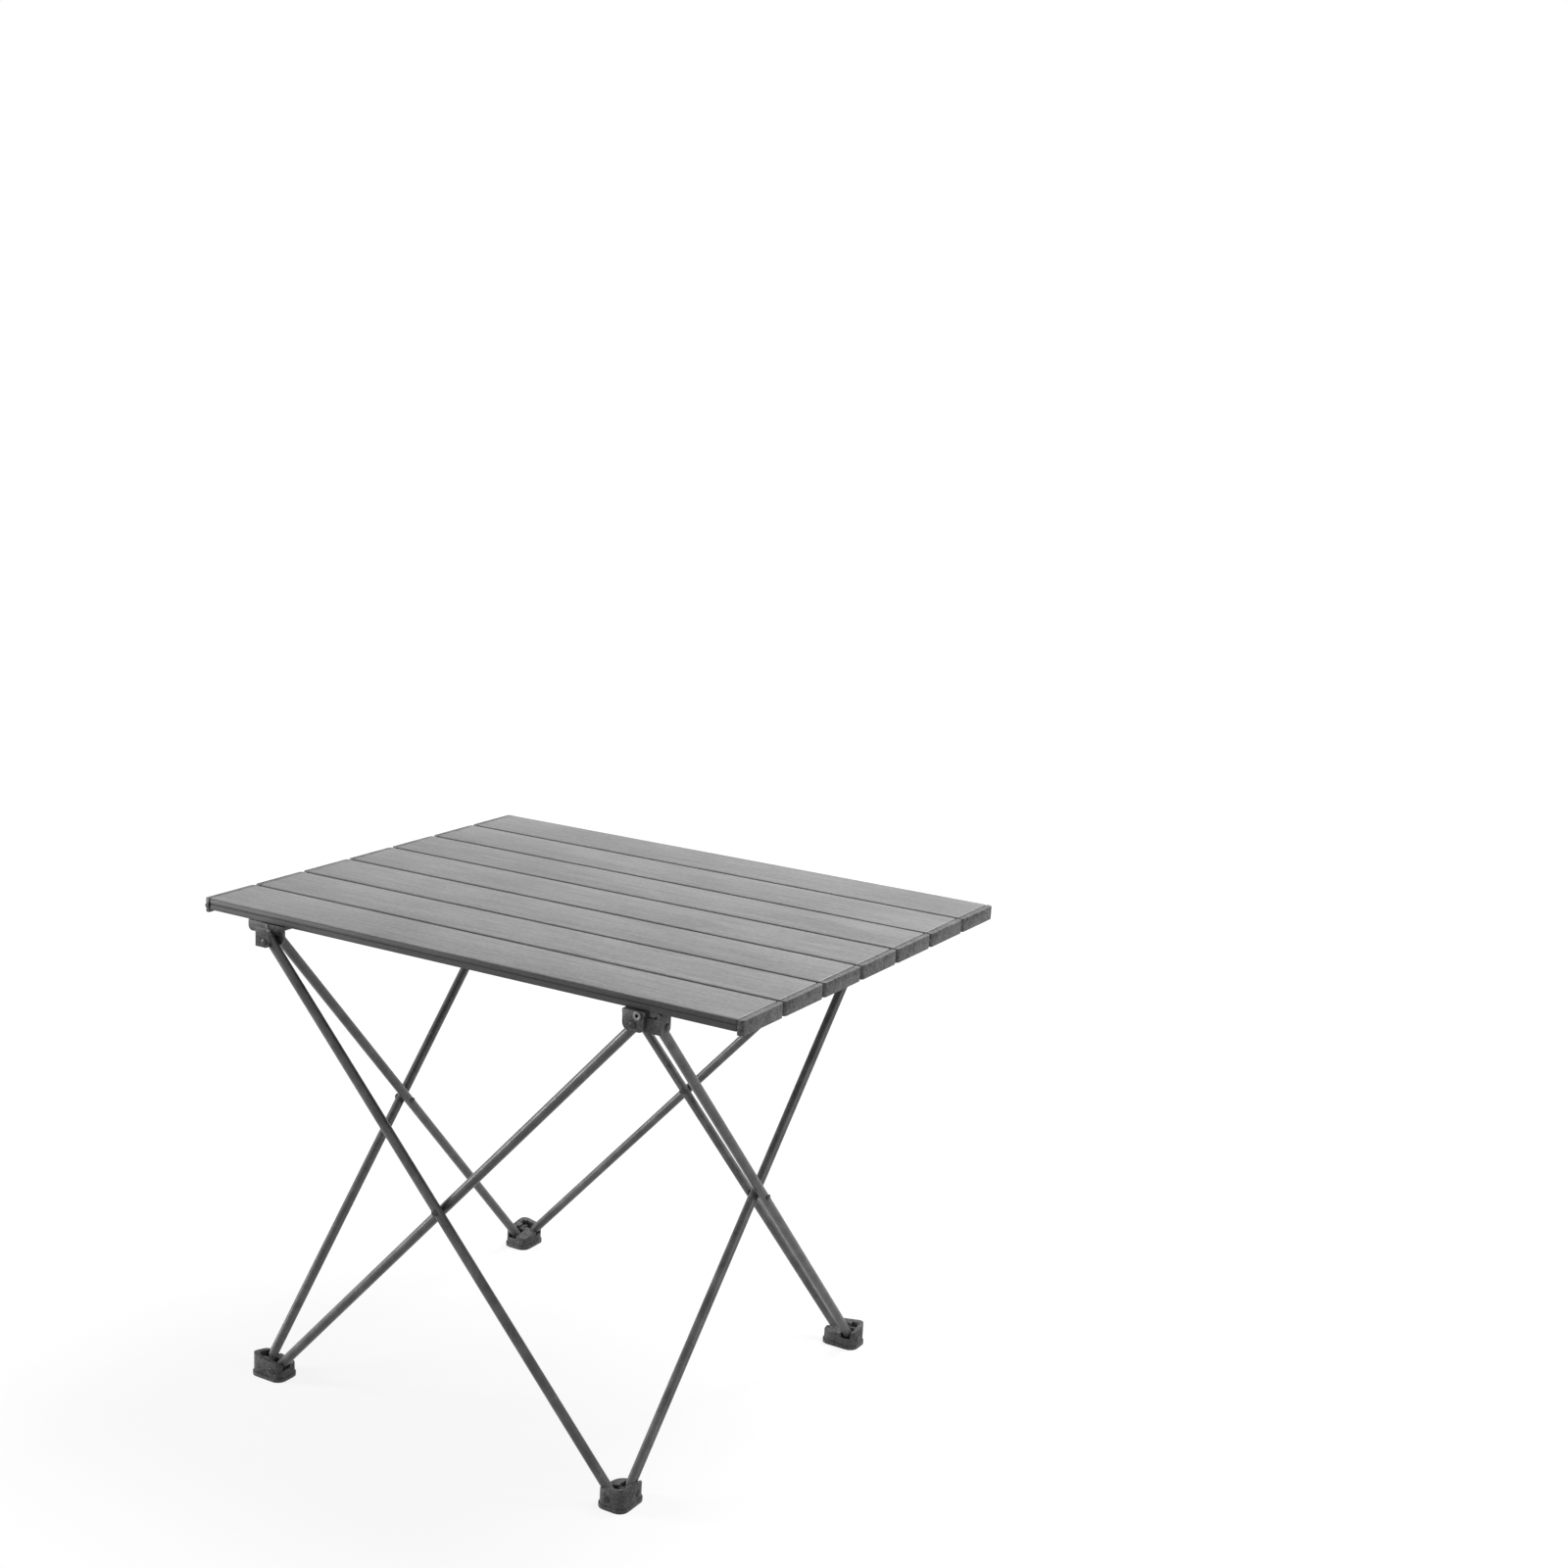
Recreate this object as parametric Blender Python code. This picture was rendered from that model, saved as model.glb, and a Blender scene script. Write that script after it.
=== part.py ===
# Roll-top folding camp table: seven hinged aluminium slats that rest on a frame of
# four crossed tube pairs, with a plastic hub under each top corner and a foot below it.
# Metres, +Z up, +X to the right along the slats, +Y from the front edge to the back.
# The origin is on the floor under the middle of the table's bounding box.

import bpy
import bmesh
from math import atan2, cos, degrees, hypot, pi, radians, sin
from mathutils import Matrix, Vector

MM = 0.001
FIT = 0.3 * MM                      # gap kept between pieces that touch

# Tabletop
SLAT_COUNT = 7
SLAT_PITCH = 60.0 * MM
SLAT_GAP = 2.0 * MM                 # open joint between two slats
SLAT_HEIGHT = 9.5 * MM
SLAT_WALL = 1.3 * MM
SLAT_EDGE_RADIUS = 1.4 * MM
TABLE_LENGTH = 510.0 * MM           # over the end caps
TABLE_HEIGHT = 406.0 * MM           # floor to top surface
CAP_THICKNESS = 5.0 * MM
CAP_GAP = 0.7 * MM                  # between the collars of neighbouring end caps
CAP_DROP = 0.4 * MM                 # cap top below the slat top
CAP_HEIGHT = 11.4 * MM
CAP_CORNER_RADIUS = 3.0 * MM        # outer corners, seen from above
CAP_COLLAR_DIAMETER = 3.8 * MM      # round collars that meet between the caps
PLUG_LENGTH = 15.0 * MM

# Crossed frame
FRAME_OFFSET_X = -7.0 * MM          # frame centre from the tabletop centre
FRAME_OFFSET_Y = -28.0 * MM
PIVOT_HALF_SPAN = 172.0 * MM        # frame centre to a tube's end pivot, along its side
SIDE_PLANE = 182.0 * MM             # frame centre to the plane between a side's two tubes
TUBE_DIAMETER = 8.2 * MM
TUBE_WALL = 1.0 * MM
TUBE_PAIR_GAP = 0.8 * MM            # between two crossed tubes
TUBE_STUB = 4.5 * MM                # tube past its end pivot
FOOT_PIVOT_HEIGHT = 9.0 * MM
HUB_PIVOT_DROP = 21.0 * MM          # hub pivot below the top surface

# Rivets
RIVET_DIAMETER = 3.6 * MM
RIVET_HOLE_CLEARANCE = 0.4 * MM     # on the radius, in the tubes and plastic
RIVET_HEAD_DIAMETER = 5.8 * MM
RIVET_HEAD_HEIGHT = 0.7 * MM
RIVET_BLIND_DEPTH = 1.8 * MM        # rivet end inside a wall

# Hub: clevis for the outer tube, one lug for the inner tube, roof under the slats
HUB_WALL = 2.8 * MM
HUB_CLEVIS_CAP = 3.1 * MM           # outer wall of the clevis
HUB_ROOF = 3.0 * MM
HUB_INNER_REACH = 162.6 * MM        # frame centre to the roof's inner edges
HUB_LUG_HALF_WIDTH = 9.0 * MM
HUB_LUG_BELOW_PIVOT = 4.6 * MM
HUB_EAR_REACH = 167.5 * MM          # frame centre to the clevis ear's inner edge
HUB_MOUTH_DEPTH = 4.2 * MM          # notch over the tube in the clevis's end wall
HUB_CORNER_RADIUS = 3.5 * MM
HUB_BOSS_DIAMETER = 6.4 * MM        # moulded eyelet on the lug
HUB_BOSS_BORE = 2.4 * MM
HUB_BOSS_HEIGHT = 0.8 * MM
HUB_BOSS_SHIFT = 4.0 * MM           # eyelet from the pivot, toward the corner
HUB_BOSS_DROP = 13.1 * MM           # eyelet below the top surface

# Foot
FOOT_HEIGHT = 20.0 * MM
FOOT_FLOOR = 2.6 * MM
FOOT_INNER_REACH = 163.0 * MM       # frame centre to the foot's inner faces
FOOT_OUTER_WALL = 3.9 * MM
FOOT_LUG_WALL = 4.9 * MM
FOOT_CORNER_RADIUS = 7.0 * MM
FOOT_SILL_WIDTH = 2.0 * MM          # wall left under a tube on the inner side
FOOT_SILL_HEIGHT = 9.6 * MM
FOOT_FLANGE_HEIGHT = 3.2 * MM
FOOT_FLANGE_WIDTH = 1.0 * MM

# Rails under the first and last slats that locate the hubs, and a block beside the first hub
RAIL_HEIGHT = 2.5 * MM
RAIL_WIDTH = 3.0 * MM
CLIP_LENGTH = 15.0 * MM
CLIP_DEPTH = 16.0 * MM
CLIP_HEIGHT = 9.0 * MM
CLIP_CORNER_RADIUS = 2.0 * MM

# Values that follow from those above
SLAT_WIDTH = SLAT_PITCH - SLAT_GAP
SLAT_LENGTH = TABLE_LENGTH - 2 * CAP_THICKNESS - 2 * FIT
CAP_WIDTH = SLAT_PITCH - CAP_GAP
TOP_DEPTH = SLAT_COUNT * SLAT_PITCH - CAP_GAP
TUBE_RADIUS = TUBE_DIAMETER / 2
LAYER = TUBE_RADIUS + TUBE_PAIR_GAP / 2          # side plane to a tube's axis
TUBE_GAP = TUBE_PAIR_GAP / 2                     # tube to the wall beside it
OUTER_PLANE = SIDE_PLANE + LAYER
INNER_PLANE = SIDE_PLANE - LAYER
HUB_PIVOT_Z = TABLE_HEIGHT - HUB_PIVOT_DROP
RISE = HUB_PIVOT_Z - FOOT_PIVOT_HEIGHT
TUBE_ANGLE = atan2(RISE, 2 * PIVOT_HALF_SPAN)
TUBE_LENGTH = hypot(RISE, 2 * PIVOT_HALF_SPAN) + 2 * TUBE_STUB
MIDDLE_Z = FOOT_PIVOT_HEIGHT + RISE / 2
END_REACH = hypot(TUBE_STUB, TUBE_RADIUS)        # widest swing of a tube's end
RIVET_RADIUS = RIVET_DIAMETER / 2
HOLE_RADIUS = RIVET_RADIUS + RIVET_HOLE_CLEARANCE
HUB_TOP_Z = TABLE_HEIGHT - SLAT_HEIGHT - FIT
CLEVIS_OUTER = OUTER_PLANE + TUBE_RADIUS + FIT + HUB_CLEVIS_CAP
CLEVIS_END = PIVOT_HALF_SPAN + END_REACH + FIT
LUG_OUTER = SIDE_PLANE + HUB_WALL
EYELET_OUTER = LUG_OUTER + HUB_BOSS_HEIGHT
FOOT_OUTER = OUTER_PLANE + TUBE_RADIUS + TUBE_GAP + FOOT_OUTER_WALL
FOOT_LUG_OUTER = SIDE_PLANE + FOOT_LUG_WALL
RIVET_REACH = FOOT_OUTER + FIT + RIVET_HEAD_HEIGHT
FRONT_REACH = FRAME_OFFSET_Y - RIVET_REACH
ORIGIN_SHIFT_Y = -(FRONT_REACH + TOP_DEPTH / 2) / 2
FRAME_X = FRAME_OFFSET_X
FRAME_Y = FRAME_OFFSET_Y + ORIGIN_SHIFT_Y
TOP_Y = ORIGIN_SHIFT_Y

SIDES = ("front", "right", "back", "left")
CORNERS = ("front_left", "front_right", "back_right", "back_left")


def clear_scene():
    for obj in list(bpy.data.objects):
        bpy.data.objects.remove(obj, do_unlink=True)


def make_collection(name):
    collection = bpy.data.collections.new(name)
    bpy.context.scene.collection.children.link(collection)
    return collection


def make_material(name, colour, roughness, metallic):
    material = bpy.data.materials.new(name)
    material.use_nodes = True
    shader = material.node_tree.nodes["Principled BSDF"]
    shader.inputs["Base Color"].default_value = (*colour, 1.0)
    shader.inputs["Roughness"].default_value = roughness
    shader.inputs["Metallic"].default_value = metallic
    material.diffuse_color = (*colour, 1.0)
    return material


def object_from_bmesh(bm, name):
    bmesh.ops.recalc_face_normals(bm, faces=bm.faces)
    mesh = bpy.data.meshes.new(name)
    bm.to_mesh(mesh)
    bm.free()
    obj = bpy.data.objects.new(name, mesh)
    WORK.objects.link(obj)
    return obj


def box(x_range, y_range, z_range, name="box"):
    bm = bmesh.new()
    bmesh.ops.create_cube(bm, size=1.0)
    size = [b - a for a, b in (x_range, y_range, z_range)]
    middle = [(a + b) / 2 for a, b in (x_range, y_range, z_range)]
    bmesh.ops.scale(bm, vec=size, verts=bm.verts)
    bmesh.ops.translate(bm, vec=middle, verts=bm.verts)
    return object_from_bmesh(bm, name)


def cylinder(radius, start, end, segments=20, name="cylinder"):
    """Closed cylinder from one point to another."""
    start = Vector(start)
    along = Vector(end) - start
    bm = bmesh.new()
    bmesh.ops.create_cone(bm, cap_ends=True, segments=segments, radius1=radius, radius2=radius,
                          depth=along.length)
    turn = along.to_track_quat("Z", "Y").to_matrix().to_4x4()
    bmesh.ops.transform(bm, matrix=Matrix.Translation(start + along / 2) @ turn, verts=bm.verts)
    return object_from_bmesh(bm, name)


def bake(obj):
    """Replace an object's mesh by the one its modifiers make."""
    graph = bpy.context.evaluated_depsgraph_get()
    mesh = bpy.data.meshes.new_from_object(obj.evaluated_get(graph))
    obj.modifiers.clear()
    old = obj.data
    obj.data = mesh
    bpy.data.meshes.remove(old)
    return obj


def join(body, tool, operation):
    modifier = body.modifiers.new(operation.lower(), "BOOLEAN")
    modifier.operation = operation
    modifier.object = tool
    modifier.solver = "EXACT"
    bpy.context.view_layer.update()
    bake(body)
    bpy.data.objects.remove(tool, do_unlink=True)
    return body


def union(body, *tools):
    for tool in tools:
        join(body, tool, "UNION")
    return body


def cut(body, *tools):
    for tool in tools:
        join(body, tool, "DIFFERENCE")
    return body


def rounded_outline(low, high, radii, steps=4):
    """Points of a rectangle with its own radius at each corner, counter-clockwise from low."""
    corners = [(low[0], low[1], 180), (high[0], low[1], 270), (high[0], high[1], 0), (low[0], high[1], 90)]
    signs = [(1, 1), (-1, 1), (-1, -1), (1, -1)]
    points = []
    for (x, y, start), (sx, sy), radius in zip(corners, signs, radii):
        if radius <= 0:
            points.append((x, y))
            continue
        for step in range(steps + 1):
            angle = radians(start + 90 * step / steps)
            points.append((x + sx * radius + radius * cos(angle), y + sy * radius + radius * sin(angle)))
    return points


def extruded(outlines, length, name="extrusion"):
    """Flat outline, with any further outlines as holes, extruded both ways along local Z."""
    curve = bpy.data.curves.new(name, "CURVE")
    curve.dimensions = "2D"
    curve.fill_mode = "BOTH"
    curve.extrude = length / 2
    for outline in outlines:
        spline = curve.splines.new("POLY")
        spline.points.add(len(outline) - 1)
        for point, (x, y) in zip(spline.points, outline):
            point.co = (x, y, 0.0, 1.0)
        spline.use_cyclic_u = True
    source = bpy.data.objects.new(name, curve)
    WORK.objects.link(source)
    bpy.context.view_layer.update()
    graph = bpy.context.evaluated_depsgraph_get()
    mesh = bpy.data.meshes.new_from_object(source.evaluated_get(graph))
    bpy.data.objects.remove(source, do_unlink=True)
    bm = bmesh.new()
    bm.from_mesh(mesh)
    bpy.data.meshes.remove(mesh)
    bmesh.ops.remove_doubles(bm, verts=bm.verts, dist=1e-6)
    bmesh.ops.dissolve_limit(bm, angle_limit=radians(0.5), verts=bm.verts, edges=bm.edges)
    return object_from_bmesh(bm, name)


def transformed(obj, matrix):
    obj.data.transform(matrix)
    return obj


# Outline frames: local X, Y and extrusion Z of a flat outline turned to lie in a vertical plane
ALONG_X = Matrix(((0, 0, 1, 0), (1, 0, 0, 0), (0, 1, 0, 0), (0, 0, 0, 1)))
IN_XZ = Matrix(((1, 0, 0, 0), (0, 0, -1, 0), (0, 1, 0, 0), (0, 0, 0, 1)))


def wall_xz(x_range, y_range, z_range, radii, name="wall"):
    """Wall in an XZ plane; radii run counter-clockwise from low X, low Z."""
    outline = rounded_outline((x_range[0], z_range[0]), (x_range[1], z_range[1]), radii)
    wall = extruded([outline], y_range[1] - y_range[0], name)
    transformed(wall, Matrix.Translation((0, (y_range[0] + y_range[1]) / 2, 0)) @ IN_XZ)
    return wall


def wall_yz(x_range, y_range, z_range, radii, name="wall"):
    """Wall in a YZ plane; radii run counter-clockwise from low Y, low Z."""
    outline = rounded_outline((y_range[0], z_range[0]), (y_range[1], z_range[1]), radii)
    wall = extruded([outline], x_range[1] - x_range[0], name)
    transformed(wall, Matrix.Translation(((x_range[0] + x_range[1]) / 2, 0, 0)) @ ALONG_X)
    return wall


def finish(obj, name, material, pivot, world=None):
    """Name a piece, give it its material, and hang it from its body's pivot."""
    obj.name = name
    obj.data.name = name
    obj.data.materials.clear()
    obj.data.materials.append(material)
    obj.data.shade_smooth()
    obj.data.set_sharp_from_angle(angle=radians(35))
    WORK.objects.unlink(obj)
    TABLE.objects.link(obj)
    place = world if world is not None else Matrix.Identity(4)
    origin = pivot_places[pivot]
    obj.data.transform(Matrix.Translation(-origin) @ place)
    obj.parent = pivots[pivot]
    return obj


def copy_of(obj, name):
    clone = bpy.data.objects.new(name, obj.data.copy())
    WORK.objects.link(clone)
    return clone


def quarter(index):
    """Frame placement of a side or a corner: quarter turns about the frame's centre."""
    return Matrix.Translation((FRAME_X, FRAME_Y, 0)) @ Matrix.Rotation(index * pi / 2, 4, "Z")


def slat_middle(index):
    return TOP_Y + (index - (SLAT_COUNT - 1) / 2) * SLAT_PITCH


def make_slat():
    """Hollow aluminium extrusion, open at both ends, centred on X = Y = 0."""
    z_low = TABLE_HEIGHT - SLAT_HEIGHT
    half = SLAT_WIDTH / 2
    outer = rounded_outline((-half, z_low), (half, TABLE_HEIGHT), [SLAT_EDGE_RADIUS] * 4, steps=3)
    inner_radius = max(SLAT_EDGE_RADIUS - SLAT_WALL, 0.0)
    inner = rounded_outline((-half + SLAT_WALL, z_low + SLAT_WALL),
                            (half - SLAT_WALL, TABLE_HEIGHT - SLAT_WALL), [inner_radius] * 4, steps=2)
    slat = extruded([outer, inner], SLAT_LENGTH, "slat")
    return transformed(slat, ALONG_X)


def make_cap():
    """Plastic end cap for the right end: an end plate, the plug inside the slat and two side collars."""
    z_high = TABLE_HEIGHT - CAP_DROP
    half = SLAT_WIDTH / 2
    inner_x = TABLE_LENGTH / 2 - CAP_THICKNESS
    outline = rounded_outline((inner_x, -half), (TABLE_LENGTH / 2, half),
                              (0, CAP_CORNER_RADIUS, CAP_CORNER_RADIUS, 0))
    plate = extruded([outline], CAP_HEIGHT, "cap")
    transformed(plate, Matrix.Translation((0, 0, z_high - CAP_HEIGHT / 2)))
    plug_half = half - SLAT_WALL - FIT
    plug = box((inner_x - PLUG_LENGTH, TABLE_LENGTH / 2 - CAP_THICKNESS / 2), (-plug_half, plug_half),
               (TABLE_HEIGHT - SLAT_HEIGHT + SLAT_WALL + FIT, TABLE_HEIGHT - SLAT_WALL - FIT))
    collar_x = inner_x + CAP_COLLAR_DIAMETER / 2
    collar_z = z_high - CAP_HEIGHT / 2
    collars = cylinder(CAP_COLLAR_DIAMETER / 2, (collar_x, -CAP_WIDTH / 2, collar_z),
                       (collar_x, CAP_WIDTH / 2, collar_z), segments=12)
    return union(plate, plug, collars)


def make_tube(inner):
    """Tube of the front side, in frame coordinates; outer runs down to the right, inner down to the left."""
    radius = TUBE_RADIUS
    bore = TUBE_RADIUS - TUBE_WALL
    segments = 24
    circle = [(radius * cos(2 * pi * i / segments), radius * sin(2 * pi * i / segments)) for i in range(segments)]
    hole = [(bore * cos(2 * pi * i / segments), bore * sin(2 * pi * i / segments)) for i in range(segments)]
    tube = extruded([circle, hole], TUBE_LENGTH, "tube")
    half = TUBE_LENGTH / 2 - TUBE_STUB
    for along in (-half, 0.0, half):
        cut(tube, cylinder(HOLE_RADIUS, (0, -2 * radius, along), (0, 2 * radius, along), segments=12))
    # Local Z is the tube's axis; turned so that it climbs toward the hub end
    lean = pi / 2 - TUBE_ANGLE
    plane = -INNER_PLANE if inner else -OUTER_PLANE
    turn = Matrix.Rotation(lean if inner else -lean, 4, "Y")
    return transformed(tube, Matrix.Translation((0, plane, MIDDLE_Z)) @ turn)


def make_hub():
    """Hub of the front-left corner, in frame coordinates: outer tube at the front, inner at the left."""
    top = HUB_TOP_Z
    low = HUB_PIVOT_Z - HUB_LUG_BELOW_PIVOT
    wall_top = top - 0.1 * MM
    end = CLEVIS_END + HUB_WALL
    inward = PIVOT_HALF_SPAN - HUB_LUG_HALF_WIDTH
    round_low = HUB_CORNER_RADIUS
    roof = box((-LUG_OUTER, -HUB_INNER_REACH), (-SIDE_PLANE, -HUB_INNER_REACH), (top - HUB_ROOF, top), "hub")
    inner_wall = wall_xz((-end, -inward), (-SIDE_PLANE, -SIDE_PLANE + HUB_WALL), (low, wall_top),
                         (0, round_low * 1.6, 0, 0))
    end_wall = wall_yz((-end, -CLEVIS_END), (-CLEVIS_OUTER, -SIDE_PLANE + HUB_WALL), (low, wall_top),
                       (round_low, 0, 0, round_low * 0.4))
    mouth = box((-end - HUB_WALL, -CLEVIS_END + HUB_WALL),
                (-OUTER_PLANE - TUBE_RADIUS, -OUTER_PLANE + TUBE_RADIUS), (wall_top - HUB_MOUTH_DEPTH, 2 * top))
    cut(end_wall, mouth)
    outer_wall = wall_xz((-end, -HUB_EAR_REACH), (-CLEVIS_OUTER, -CLEVIS_OUTER + HUB_CLEVIS_CAP),
                         (low, wall_top), (0, round_low, round_low * 1.3, round_low * 0.6))
    lug = wall_yz((-LUG_OUTER, -SIDE_PLANE), (-CLEVIS_END - HUB_WALL, -inward), (low, wall_top),
                  (round_low, round_low * 1.6, 0, 0))
    hub = union(roof, inner_wall, end_wall, outer_wall, lug)
    # Moulded eyelet on the outside of the lug
    eyelet_y = -PIVOT_HALF_SPAN - HUB_BOSS_SHIFT
    eyelet_z = TABLE_HEIGHT - HUB_BOSS_DROP
    union(hub, cylinder(HUB_BOSS_DIAMETER / 2, (-LUG_OUTER + HUB_WALL / 2, eyelet_y, eyelet_z),
                        (-EYELET_OUTER, eyelet_y, eyelet_z), segments=20))
    cut(hub, cylinder(HUB_BOSS_BORE / 2, (-LUG_OUTER + HUB_WALL / 2, eyelet_y, eyelet_z),
                      (-LUG_OUTER - 2 * HUB_WALL, eyelet_y, eyelet_z), segments=12))
    # Rivet holes: through the clevis along Y, through the lug along X
    cut(hub, cylinder(HOLE_RADIUS, (-PIVOT_HALF_SPAN, -CLEVIS_OUTER - HUB_WALL, HUB_PIVOT_Z),
                      (-PIVOT_HALF_SPAN, -SIDE_PLANE + 2 * HUB_WALL, HUB_PIVOT_Z), segments=12))
    cut(hub, cylinder(HOLE_RADIUS, (-LUG_OUTER - HUB_WALL, -PIVOT_HALF_SPAN, HUB_PIVOT_Z),
                      (-SIDE_PLANE + HUB_WALL, -PIVOT_HALF_SPAN, HUB_PIVOT_Z), segments=12))
    return hub


def make_foot():
    """Foot of the front-left corner, in frame coordinates: inner tube at the front, outer at the left."""
    low = (-FOOT_OUTER, -FOOT_LUG_OUTER)
    high = (-FOOT_INNER_REACH, -FOOT_INNER_REACH)
    radius = FOOT_CORNER_RADIUS
    body_height = FOOT_HEIGHT - FOOT_FLANGE_HEIGHT / 2
    body = extruded([rounded_outline(low, high, [radius] * 4, steps=5)], body_height, "foot")
    transformed(body, Matrix.Translation((0, 0, FOOT_HEIGHT - body_height / 2)))
    wide = FOOT_FLANGE_WIDTH
    flange_low = (low[0] - wide, low[1] - wide)
    flange_high = (high[0] + wide, high[1] + wide)
    flange = extruded([rounded_outline(flange_low, flange_high, [radius + wide] * 4, steps=5)],
                      FOOT_FLANGE_HEIGHT, "flange")
    transformed(flange, Matrix.Translation((0, 0, FOOT_FLANGE_HEIGHT / 2)))
    foot = union(flange, body)
    slot_half = TUBE_RADIUS + TUBE_GAP
    slot_end = PIVOT_HALF_SPAN + END_REACH + TUBE_GAP
    beyond = 2 * FOOT_HEIGHT
    sill = -FOOT_INNER_REACH - FOOT_SILL_WIDTH
    for slot_low, slot_inner in ((FOOT_FLOOR, sill), (FOOT_SILL_HEIGHT, -slot_end + 2 * beyond)):
        outer_slot = box((-OUTER_PLANE - slot_half, -OUTER_PLANE + slot_half), (-slot_end, slot_inner),
                         (slot_low, beyond))
        inner_slot = box((-slot_end, slot_inner), (-INNER_PLANE - slot_half, -INNER_PLANE + slot_half),
                         (slot_low, beyond))
        cut(foot, outer_slot, inner_slot)
    z = FOOT_PIVOT_HEIGHT
    wall_end = -SIDE_PLANE + RIVET_BLIND_DEPTH + 2 * FIT + TUBE_GAP
    cut(foot, cylinder(HOLE_RADIUS, (-FOOT_OUTER - 3 * wide, -PIVOT_HALF_SPAN, z),
                       (wall_end, -PIVOT_HALF_SPAN, z), segments=12))
    wall_end = -INNER_PLANE + slot_half + RIVET_BLIND_DEPTH + 2 * FIT
    cut(foot, cylinder(HOLE_RADIUS, (-PIVOT_HALF_SPAN, -FOOT_LUG_OUTER - 3 * wide, z),
                       (-PIVOT_HALF_SPAN, wall_end, z), segments=12))
    return foot


def make_rivet(start, end, head_at_end):
    """Rivet along a line: a head outside the start and, where it shows, another past the end."""
    start = Vector(start)
    end = Vector(end)
    along = (end - start).normalized()
    head = cylinder(RIVET_HEAD_DIAMETER / 2, start - along * RIVET_HEAD_HEIGHT, start, 20, "rivet")
    shank = cylinder(RIVET_RADIUS, start - along * RIVET_HEAD_HEIGHT / 2, end, 12)
    union(head, shank)
    if head_at_end:
        tail = cylinder(RIVET_HEAD_DIAMETER / 2, end - along * 1e-5, end + along * RIVET_HEAD_HEIGHT, 20)
        union(head, tail)
    return head


def make_rail(front):
    """Clip rail under a slat: a bar against the inner side of the front hubs, or behind the back ones."""
    near = -HUB_INNER_REACH + FIT if front else EYELET_OUTER + FIT
    return box((-SIDE_PLANE, SIDE_PLANE), (near, near + RAIL_WIDTH), (HUB_TOP_Z - RAIL_HEIGHT, HUB_TOP_Z), "rail")


def make_clip():
    """Locating block under the first slat, outside the front left hub and flush with the slat's front."""
    right = -EYELET_OUTER - FIT
    front = slat_middle(0) - SLAT_WIDTH / 2 + FIT - FRAME_Y
    radius = CLIP_CORNER_RADIUS
    return wall_xz((right - CLIP_LENGTH, right), (front, front + CLIP_DEPTH), (HUB_TOP_Z - CLIP_HEIGHT, HUB_TOP_Z),
                   (radius * 2, radius, 0, 0), "clip")


def hinge_point(side, x, plane, z):
    """World point on a side's frame: x along the side, plane outward from the centre."""
    return quarter(side) @ Vector((x, -plane, z))


def body_table():
    """Each moving body: its parent body and a point on its joint's axis."""
    span = PIVOT_HALF_SPAN
    table = {
        "base": (None, quarter(0) @ Vector((-span, -OUTER_PLANE, HUB_PIVOT_Z))),
        "outer_front": ("base", hinge_point(0, -span, OUTER_PLANE, HUB_PIVOT_Z)),
        "inner_front": ("outer_front", hinge_point(0, 0, INNER_PLANE, MIDDLE_Z)),
        "hub_front_right": ("inner_front", hinge_point(0, span, INNER_PLANE, HUB_PIVOT_Z)),
        "foot_front_right": ("outer_front", hinge_point(0, span, OUTER_PLANE, FOOT_PIVOT_HEIGHT)),
        "foot_front_left": ("inner_front", hinge_point(0, -span, INNER_PLANE, FOOT_PIVOT_HEIGHT)),
        "inner_left": ("base", hinge_point(3, span, INNER_PLANE, HUB_PIVOT_Z)),
        "outer_left": ("inner_left", hinge_point(3, 0, OUTER_PLANE, MIDDLE_Z)),
        "hub_back_left": ("outer_left", hinge_point(3, -span, OUTER_PLANE, HUB_PIVOT_Z)),
        "foot_back_left": ("inner_left", hinge_point(3, -span, INNER_PLANE, FOOT_PIVOT_HEIGHT)),
        "outer_right": ("hub_front_right", hinge_point(1, -span, OUTER_PLANE, HUB_PIVOT_Z)),
        "inner_right": ("outer_right", hinge_point(1, 0, INNER_PLANE, MIDDLE_Z)),
        "hub_back_right": ("inner_right", hinge_point(1, span, INNER_PLANE, HUB_PIVOT_Z)),
        "foot_back_right": ("outer_right", hinge_point(1, span, OUTER_PLANE, FOOT_PIVOT_HEIGHT)),
        "inner_back": ("hub_back_left", hinge_point(2, span, INNER_PLANE, HUB_PIVOT_Z)),
        "outer_back": ("inner_back", hinge_point(2, 0, OUTER_PLANE, MIDDLE_Z)),
    }
    parent = "base"
    for index in range(SLAT_COUNT):
        y = slat_middle(index) - SLAT_PITCH / 2
        table["slat_%d" % (index + 1)] = (parent, Vector((0, y, TABLE_HEIGHT)))
        parent = "slat_%d" % (index + 1)
    return table


def make_pivots():
    """One empty on each body's joint axis, parented along the chain of joints."""
    for name, (parent, place) in body_table().items():
        empty = bpy.data.objects.new("pivot_" + name, None)
        empty.empty_display_size = 0.015
        TABLE.objects.link(empty)
        pivot_places[name] = place.copy()
        pivots[name] = empty
        if parent:
            empty.parent = pivots[parent]
            empty.location = place - pivot_places[parent]
        else:
            empty.location = place


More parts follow.
